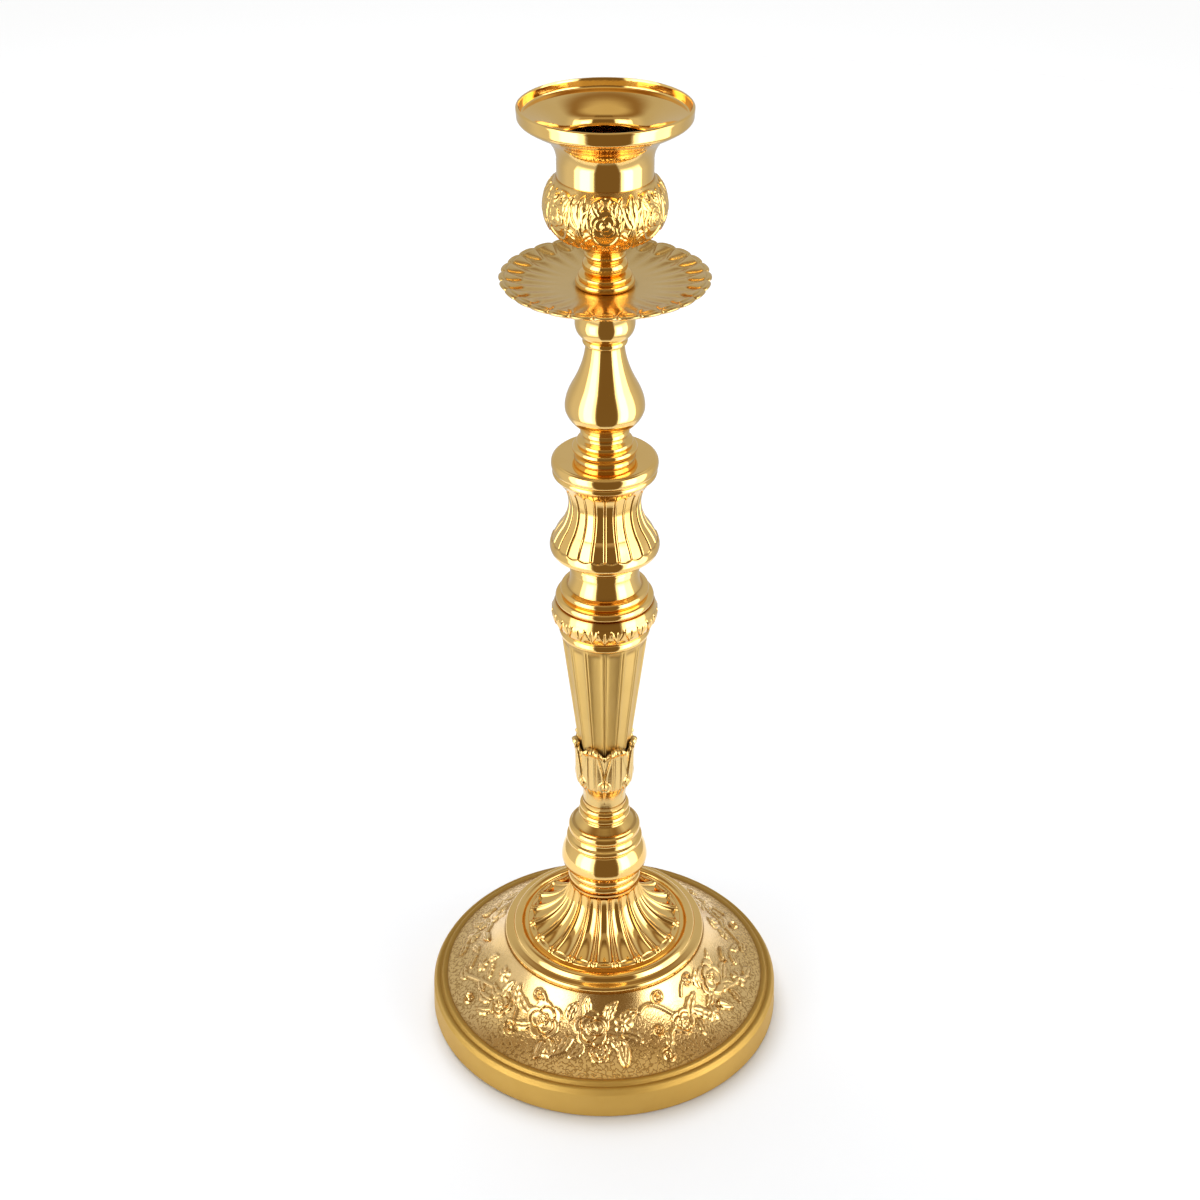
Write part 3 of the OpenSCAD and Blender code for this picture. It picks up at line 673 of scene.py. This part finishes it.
topCollar = {"finish": "polished", "slot": "polished_gold", "h": 5.6, "step": 0.2, "blur": 0.1, "cols": 300}
turned("column_collar_skin", "column_collar", topCollar,
       outline(bead(0, 2.6, 13.9, 0.9), bead(2.8, 5.2, 12.4, 0.9), [(11.2, topCollar["h"])]),
       casting(topCollar["h"]))

neck = {"finish": "polished", "slot": "polished_gold", "h": 10.8, "step": 0.22, "blur": 0.1, "cols": 280}
turned("spool_neck_skin", "spool_neck", neck,
       outline(curve((11.2, 0), (10.1, 2), (10.4, 5.6)), [(10.4, 7.2)], bead(7.6, 10.4, 10, 0.7),
               [(10, neck["h"])]), casting(neck["h"]))

spool = {"finish": "polished", "slot": "polished_gold", "h": 26, "flutes": 24, "cols": 672, "step": 0.24,
         "blur": 0.1, "deep": 0.28, "groove": 0.5, "grooveWide": 0.27, "start": 4.2, "end": 24.6}


def spoolRelief(a, s, r, z):
    # flat facets, sunk below the plain foot, with a narrow groove between two facets.
    # Facet: r (cos half / cos angle - 1). Both ends of a facet are shallow arches.
    n = spool["flutes"]
    turn = (((a / turnOnce * n) % 1 - 0.5) / n * turnOnce)[None, :]      # angle from the middle of a facet
    wide, up = r[:, None], z[:, None]
    off = np.abs(turn) * n / pi                                          # 0 mid facet, 1 in a groove
    facet = wide * (np.cos(pi / n) / np.cos(turn) - 1)
    groove = spool["groove"] * np.exp(-((1 - off) * pi / n * wide / spool["grooveWide"]) ** 2)
    low, high = spool["start"] + 0.6 * off ** 2, spool["end"] - 1.6 * off ** 2
    return (facet - spool["deep"] - groove) * smooth(up, low, low + 0.4) * smooth(up, high, high - 0.4)


turned("spool_skin", "spool", spool,
       outline([(13.4, 0), (15, 0.5)], curve((15, 0.5), (16.3, 1.2), (16.3, 3)),
               curve((16.3, 3), (15.8, 6.4), (12.9, 10.2)), curve((12.9, 10.2), (11, 13.6), (11, 17.2)),
               curve((11, 17.2), (11.4, 22.4), (14.3, spool["h"]))), casting(spool["h"]), spoolRelief)

disc = {"finish": "polished", "slot": "polished_gold", "h": 5.9, "step": 0.2, "blur": 0.12, "cols": 300}
turned("spool_disc_skin", "spool_disc", disc,
       outline([(14.4, 0)], bead(0.5, 2.1, 14.9, 0.4), bead(2.2, 5.5, 14.9, 0.7),
               [(14.6, disc["h"]), (8.4, disc["h"])]), casting(disc["h"]))

ringCollar = {"finish": "polished", "slot": "polished_gold", "h": 7.1, "step": 0.2, "blur": 0.1}
turned("ring_collar_skin", "ring_collar", ringCollar,
       outline(curve((8.9, 0), (8.2, 1), (8.8, 1.9)), bead(2, 4, 8.7, 0.8), bead(4.2, 5.8, 7.6, 0.6),
               curve((7.4, 6), (6.4, 6.3), (6.4, ringCollar["h"]))), casting(ringCollar["h"]))

baluster = {"finish": "polished", "slot": "polished_gold", "h": 28.2, "belly": 11.4, "neck": 5.5,
            "step": 0.3}
belly, slim = baluster["belly"], baluster["neck"]
turned("baluster_skin", "baluster", baluster,
       outline(bead(0, 2.2, 6.4, 0.7), curve((6.9, 2.6), (belly - 1, 4.6), (belly, 8)),
               curve((belly, 8), (belly + 0.5, 11.2), (9.3, 16)),
               curve((9.3, 16), (slim + 0.4, 22.2), (slim, baluster["h"]))), casting(baluster["h"]))
print("stem made")


# drip pan, cup and nozzle

panCollar = {"finish": "polished", "slot": "polished_gold", "h": 16.2, "step": 0.25}
pan = {"finish": "lacquered", "slot": "satin_gold", "radius": 29.4, "thick": 1.4, "lobes": 28, "cols": 728,
       "step": 0.5, "dense": (22, 2.5), "blur": 0.14, "scallop": 1.1, "rib": 0.2,
       # each lobe's egg: its height, half width and length, and the sunk line round it
       "lobe": 0.5, "lobeWide": 3.0, "lobeLong": 6.2, "hem": 0.10, "hemWide": 0.09, "rolled": 0.9}
panEdge = pan["radius"]

turned("pan_collar_skin", "pan_collar", panCollar,
       outline(bead(0, 2, 5.6, 0.8), curve((6.2, 2.1), (8.7, 3.6), (8.5, 7)),
               curve((8.5, 7), (8.3, 11), (11.6, 15.2)), [(11.6, panCollar["h"])]),
       casting(panCollar["h"], tangReach=pan["thick"]))


def panLobe(a):
    # 0 in the middle of a lobe and 1 where two lobes meet
    return np.abs((a / turnOnce * pan["lobes"] + 0.5) % 1 - 0.5)[None, :] * 2


def panRelief(a, s, r, z):
    # on top, each lobe is a low egg in a sunk outline. Soft ribs run in from the eggs and fade unevenly.
    off, wide, far = panLobe(a), pi * panEdge / pan["lobes"], r[:, None]
    top = smooth(s, s[-1] / 2 + 0.3, s[-1] / 2 + 1.0)[:, None]
    inward = np.clip(panEdge - pan["rolled"] - far, 0, 12)      # millimetres in from the rolled edge
    arch = np.hypot(off * wide / pan["lobeWide"], inward / pan["lobeLong"])
    egg = pan["lobe"] * np.sqrt(np.clip(1 - (arch / 0.95) ** 2, 0, 1))
    hem = -pan["hem"] * np.exp(-((arch - 1.0) / pan["hemWide"]) ** 2)
    dart = -pan["hem"] * np.clip(1 - (1 - off) * wide / 0.9, 0, 1)
    dart = dart * smooth(inward, 0.3, 2) * smooth(inward, 6.5, 4.5)
    fade = smooth(far, 9 + 7 * net(a, s, 28, 60, 21), 24)
    ribs = pan["rib"] * np.cos(pi * off) * fade * smooth(inward, 1.5, 5)
    edge = smooth(far, panEdge - 0.15, panEdge - 0.8)
    return (egg + hem + dart) * top * edge + ribs * (2 * top - 1)


def panSway(a, s, r, z):
    # the edge is drawn in where two lobes meet
    notch = 1 - np.sqrt(np.clip(1 - panLobe(a) ** 2.4, 0, 1))
    drawIn = -pan["scallop"] * notch * smooth(r, 25.5, 29)[:, None]
    return drawIn, 0.3 * drawIn


turned("drip_pan_skin", "drip_pan", pan,
       outline(curve((11.6, 0), (22, 0.6), (panEdge - 0.6, 3)), [(panEdge, 3.7), (panEdge - 0.6, 4.2)],
               curve((panEdge - 1, 4.2), (21, 1.7), (8.6, pan["thick"]))),
       [(recess, pan["thick"]), (recess, 0)], panRelief, sway=panSway)

cupStem = {"finish": "polished", "slot": "polished_gold", "h": 13.8, "step": 0.2, "blur": 0.1}
turned("cup_stem_skin", "cup_stem", cupStem,
       outline(bead(0, 2, 7.6, 0.7), bead(2.1, 3.6, 7, 0.5), [(6.2, 3.8)], bead(4, 7.8, 4.8, 1.5),
               [(4.9, 8)], bead(8.2, 9.8, 5, 0.7), curve((5.2, 10), (7, 11), (8.6, cupStem["h"]))),
       casting(cupStem["h"]))

bowl = {"finish": "embossed", "slot": "embossed_gold", "radius": 16.7, "h": 17, "bore": 12.4, "floor": 2.2,
        "cols": 700, "step": 0.2, "blur": 0.1, "lift": 0.52, "motifs": 7, "under": 6.0,
        # each leaf: part of the way to the next rose, mm up the side, size in mm, turn in degrees
        "leaves": [(0.5, 15.4, 3.9, 90), (0.39, 13.0, 3.5, 112), (0.61, 13.0, 3.5, 68),
                   (0.33, 7.8, 2.8, 140), (0.67, 7.8, 2.8, 40), (0.22, 16.4, 2.8, 70),
                   (0.78, 16.4, 2.8, 110), (0.5, 3.2, 2.3, 90), (0.25, 2.8, 2.2, 90),
                   (0.0, 3.2, 2.2, 90), (0.75, 2.8, 2.2, 90)],
        # half a ribbon: degrees to one side of the rose, mm up the side
        "ribbon": [(1, 18.8), (20, 18.4), (15.5, 11), (11, 5), (0, 5)]}
bowlOut, bowlIn, bowlTop, bowlFloor = bowl["radius"], bowl["bore"], bowl["h"], bowl["floor"]


def bowlRelief(a, s, r, z):
    # roses framed by ribbons alternate with tall sprays, above a hem of small leaves
    s = s - bowl["under"]      # millimetres up the side from the round lower edge
    height = np.zeros((len(s), len(a)))
    every, lift = 360 / bowl["motifs"], bowl["lift"]
    for n in range(bowl["motifs"]):
        for side, up, size, turn in bowl["leaves"]:
            stamp(height, a, s, r, "leaf", every * (n + side), up, size, turn, lift)
        for left in (-1, 1):
            ribbon = [(every * n + left * x, y) for x, y in bowl["ribbon"]]
            vine(height, a, s, r, *ribbon[:3], 0.4, 0.8 * lift)
            vine(height, a, s, r, *ribbon[2:], 0.4, 0.8 * lift)
            stamp(height, a, s, r, "curl", every * n + left * 8, 17.0, 1.8, 90 * left, 0.8 * lift)
        stamp(height, a, s, r, "rose", every * n, 11.6, 4.2, 30 * n, lift)
        stamp(height, a, s, r, "bud", every * (n + 0.5), 8.4, 2.5, 90, lift)
    return height * smooth(s, 0.2, 2)[:, None] * smooth(s, s[-1] - 0.8, s[-1] - 1.4)[:, None]


turned("cup_bowl_skin", "cup_bowl", bowl,
       outline([(4.6, 0.16), (10.8, 0.4)], curve((12.9, 1.2), (bowlOut - 0.8, 3.6), (bowlOut, 8.2)),
               curve((bowlOut, 8.2), (bowlOut + 0.2, 12.8), (bowlIn + 2, 15.6)), [(bowlIn + 0.9, bowlTop)]),
       [(bowlIn, bowlTop), (bowlIn, bowlFloor), (bore, bowlFloor), (bore, recessHigh), (recess, recessHigh),
        (recess, 0)], bowlRelief)

# heights are from the cup's top, so that the spigot hangs below 0
nozzle = {"finish": "polished", "slot": "polished_gold", "rim": 23.6, "h": 19.6, "candle": 11.3,
          "spigot": 12.3, "neck": 13.1, "drop": 9.4, "floor": 8, "cols": 320, "step": 0.32, "blur": 0.12}
nozzle["base"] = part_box("nozzle")[1].z / mm - nozzle["h"]
lip, hole, lipTop = nozzle["rim"], nozzle["candle"], nozzle["h"]
turned("nozzle_skin", "nozzle", nozzle,
       outline([(nozzle["spigot"], -nozzle["drop"]), (nozzle["spigot"], 0), (nozzle["neck"], 0),
                (nozzle["neck"], 5.6)], curve((nozzle["neck"], 5.6), (13.6, 10.2), (lip - 5.8, 12.6)),
               curve((lip - 5.8, 12.6), (lip - 2.6, 14.2), (lip - 0.7, 15.6)),
               [(lip - 0.2, 16.3), (lip, 19.2), (lip - 0.3, lipTop), (lip - 0.8, lipTop),
                (lip - 1.2, 17.1)],
               curve((lip - 1.3, 17), ((lip + hole) / 2 + 1, 16.2), (hole + 3.3, 14.2)),
               curve((hole + 3.3, 14.2), (hole, 12.4), (hole, 9.4)), [(hole, -nozzle["floor"])]),
       [(0, -nozzle["floor"]), (0, -nozzle["drop"])], body="nozzle")
print("pan, cup and nozzle made")


# felt under the foot

pad = {"finish": "felt", "slot": "green_felt", "radius": 54.4, "thick": 1.5, "dip": 0.07, "cols": 180,
       "step": 1.8, "blur": 0.3}


def padRelief(a, s, r, z):
    # pressed felt is a little uneven. Its underside stays level with the table.
    return pad["dip"] * (net(a, s, 90, 4, 11) - 1) * smooth(z, 0.1, 0.5)[:, None]


feltPad = turned("felt_disc", "felt_pad", pad,
                 outline([(0, 0), (pad["radius"], 0), (pad["radius"], pad["thick"]), (0, pad["thick"])]),
                 relief=padRelief)


# the hidden hardware keeps its shape and gets its finish

hardware = {"bottom_plate": "zinc", "foot_weight": "iron", "rod_nut": "zinc", "lock_washer": "zinc",
            "flat_washer": "zinc", "tie_rod": "zinc", "cup_washer": "zinc", "cup_nut": "zinc"}
for node, finish in hardware.items():
    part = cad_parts[node]
    part.data.materials.clear()
    part.data.materials.append(finishes[finish])
print("hardware finished")


# studio

studio = {"floorHalf": 3.0, "floorTone": (0.768, 0.805, 0.868, 1), "floorRough": 0.6, "speckScale": 600.0,
          "table": 0.20, "tableEdge": 0.26, "tableGap": 0.12, "gapSoft": 5, "fade": 0.5, "faded": 1.4,
          "backdrop": (0.97, 0.97, 0.96515, 1), "room": 0.54, "roomTone": (1.0, 0.995, 0.97), "haze": 0.16,
          "front": (0.19, 0.125, 0.055, 1), "shelf": (0.45, 0.37, 0.27, 1),
          "ceiling": (0.28, 0.19, 0.10, 1), "overhead": (0.60, 0.53, 0.39, 1),
          "lamp": (-0.3, 1.1, 2.4), "lampSize": 2.4, "lampPower": 62.0,
          # where each light lies, in degrees across or up: low edge, high edge and softness. The ceiling
          # and the overhead light begin at the first angle and are full at the second.
          "hazeAcross": (30, 112, 16), "hazeUp": (-50, 58, 14), "shelfAcross": (-75, 80, 6),
          "shelfUp": (38, 50, 3), "ceilingUp": (41, 56), "overheadUp": (56, 72),
          "frontAcross": (-25, 35, 3), "frontUp": (-64, 76, 9),
          # each panel: left and right edge, bottom and top edge in degrees, its strength
          "panels": [(-77, -28, -38, 39, 1.9), (-62, -36, -34, 34, 1.4), (38, 94, -36, 36, 1.9),
                     (44, 68, -33, 30, 1.8)], "panelSoft": (3, 7)}
camera = {"lens": 60.9, "sensor": 36.0, "place": (-0.0014, -0.51944, 0.47877), "tilt": 58.275}


def window(maker, value, low, high, soft):
    # 1 from low to high, with S-shaped sides
    return maker.rise(value, low - soft, low + soft) * maker.rise(value, high + soft, high - soft)


def bearing(maker, way):
    # degrees round the axis: 0 straight in front, 90 to the right
    x, y = [maker.add("SeparateXYZ", None, {0: way}, out=k) for k in (0, 1)]
    return x.math("ARCTAN2", x, 0 - y) * (180 / pi)


def makeFloor():
    # a white sweep that fades into the backdrop. Reflections see it only as far as the table reaches, which
    # is less in front, and the soft panels beyond it.
    half = studio["floorHalf"]
    mesh = bpy.data.meshes.new("floor")
    corners = [(-half, -half, 0), (half, -half, 0), (half, half, 0), (-half, half, 0)]
    mesh.from_pydata(corners, [], [(0, 1, 2, 3)])
    floor = bpy.data.objects.new("floor", mesh)
    bpy.context.scene.collection.objects.link(floor)
    material, maker = newMaterial("white sweep")
    place = maker.add("TexCoord", None, None, out="Object")
    far = maker.add("VectorMath", {"operation": "LENGTH"}, {0: place}, out="Value")
    matt = studio["floorRough"] + maker.noise(place, studio["speckScale"], 2.0) * 0.1
    white = maker.add("BsdfPrincipled", None, {"Base Color": studio["floorTone"], "Roughness": matt})
    glossy = maker.add("LightPath", None, None, out="Is Glossy Ray")
    left, right = studio["frontAcross"][:2]
    front = window(maker, bearing(maker, place), left, right, studio["gapSoft"])
    nearer = far + studio["tableGap"] * front
    gone = maker.rise(nearer, studio["table"], studio["tableEdge"]) * glossy
    gone = gone + maker.rise(far, studio["fade"], studio["faded"]) * (1 - glossy)
    clear = maker.add("BsdfTransparent")
    shader = maker.add("MixShader", None, {0: gone, 1: white, 2: clear})
    maker.add("OutputMaterial", None, {"Surface": shader})
    mesh.materials.append(material)


def makeLamp():
    # a broad lamp overhead whitens the sweep. Polished metal does not mirror it.
    light = bpy.data.lights.new("overhead", "AREA")
    light.shape, light.size, light.energy = "DISK", studio["lampSize"], studio["lampPower"]
    lamp = bpy.data.objects.new("overhead", light)
    lamp.location = studio["lamp"]
    lamp.rotation_euler = Vector(studio["lamp"]).to_track_quat("Z", "Y").to_euler()
    lamp.visible_glossy = lamp.visible_camera = False
    bpy.context.scene.collection.objects.link(lamp)


def makeWorld():
    # two soft panels left and right of a dim warm gap in front, and a pale room round the sides and back
    world = bpy.data.worlds.new("studio")
    bpy.context.scene.world = world
    world.use_nodes = True
    maker = Maker(world.node_tree)
    way = maker.add("TexCoord", None, None, out="Generated")
    z = maker.add("SeparateXYZ", None, {0: way}, out=2)
    across = bearing(maker, way)
    up = z.math("ARCSINE", z) * (180 / pi)
    sides = window(maker, across.math("ABSOLUTE", across), *studio["hazeAcross"])
    level = studio["room"] + studio["haze"] * sides * window(maker, up, *studio["hazeUp"])
    softAcross, softUp = studio["panelSoft"]
    for left, right, bottom, top, strength in studio["panels"]:
        panel = window(maker, across, left, right, softAcross) * window(maker, up, bottom, top, softUp)
        level = level + strength * panel
    pale = maker.add("VectorMath", {"operation": "SCALE"}, {0: studio["roomTone"], "Scale": level})
    light = maker.blend(maker.rise(up, *studio["ceilingUp"]), pale, studio["ceiling"])
    front = window(maker, across, *studio["frontAcross"]) * window(maker, up, *studio["frontUp"])
    light = maker.blend(front, light, studio["front"])
    shelf = window(maker, across, *studio["shelfAcross"]) * window(maker, up, *studio["shelfUp"])
    light = maker.blend(shelf, light, studio["shelf"])
    light = maker.blend(maker.rise(up, *studio["overheadUp"]), light, studio["overhead"])
    direct = maker.add("LightPath", None, None, out="Is Camera Ray")
    seen = maker.blend(direct, light, studio["backdrop"])
    maker.add("OutputWorld", None, {"Surface": maker.add("Background", None, {"Color": seen})})


def makeCamera():
    # a long lens from a little above, square on to the front
    lens = bpy.data.cameras.new("camera")
    lens.lens, lens.sensor_width = camera["lens"], camera["sensor"]
    holder = bpy.data.objects.new("camera", lens)
    holder.location = camera["place"]
    holder.rotation_euler = (radians(camera["tilt"]), 0, 0)
    bpy.context.scene.collection.objects.link(holder)
    bpy.context.scene.camera = holder


makeFloor()
makeLamp()
makeWorld()
makeCamera()
bpy.context.scene.view_settings.view_transform = "Standard"
print("studio made")
